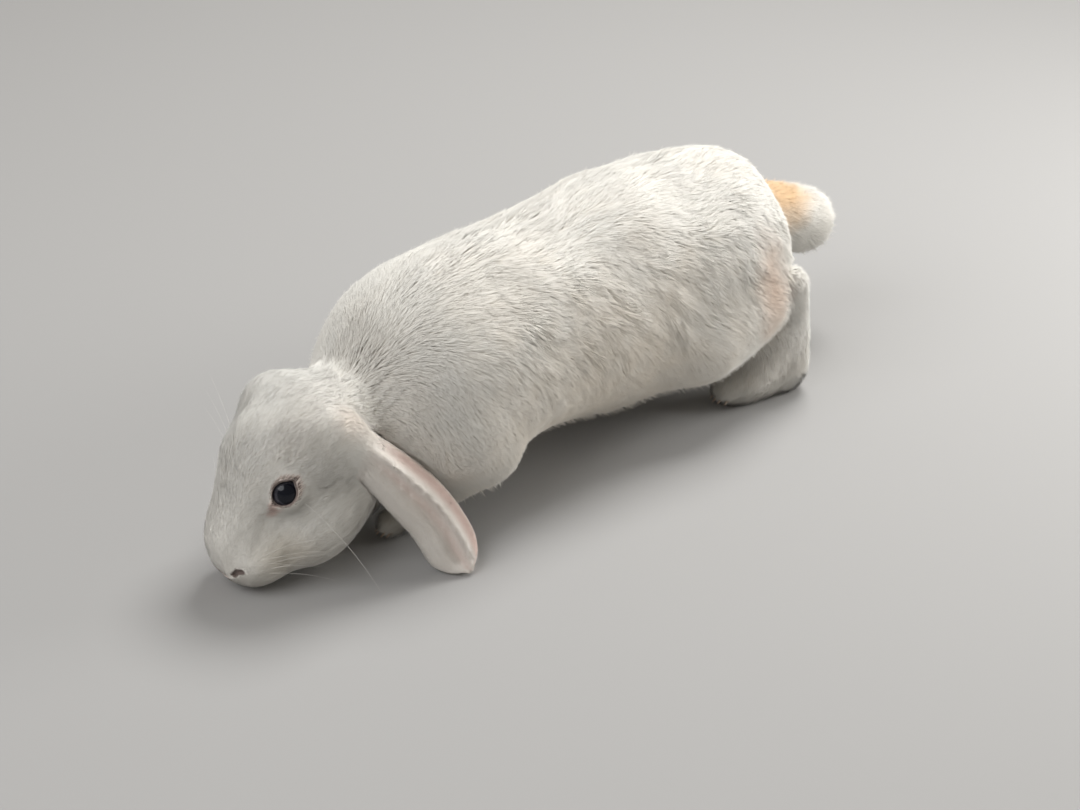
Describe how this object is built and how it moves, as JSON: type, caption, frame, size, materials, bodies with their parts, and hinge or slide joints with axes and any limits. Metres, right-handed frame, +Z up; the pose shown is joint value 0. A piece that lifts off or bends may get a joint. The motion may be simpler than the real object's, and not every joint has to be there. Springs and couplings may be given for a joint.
{
  "type": "life-size lop rabbit model",
  "caption": "Still, life-size white lop-eared rabbit, standing with its nose down to the floor, rump raised and tail out behind.",
  "frame": {"origin": "middle of the floor under the rabbit's box", "axes": "+Z up; the rabbit faces -X, so its left side is towards -Y"},
  "size_m": [0.451, 0.1312, 0.1418],
  "materials": {
    "coat": "soft creamy white fur",
    "tail_coat": "long soft fur, orange-fawn above and pale grey below",
    "ear": "thin short velvet fur over pink skin",
    "eye": "wet and glossy, slate-blue iris round a dark pupil",
    "bare_skin": "moist pink skin of lids, nose and mouth",
    "whisker": "fine, stiff and pale",
    "claw": "pale horn"
  },
  "bodies": {
    "root": {"head": "coat", "neck": "coat", "trunk": "coat", "tail": "tail_coat", "ear_left": "ear", "ear_right": "ear", "eye_left": "eye", "eye_right": "eye", "thigh_left": "coat", "thigh_right": "coat", "hindfoot_left": "coat", "hindfoot_right": "coat", "foreleg_left": "coat", "foreleg_right": "coat", "forepaw_left": "coat", "forepaw_right": "coat"}
  },
  "joints": []
}
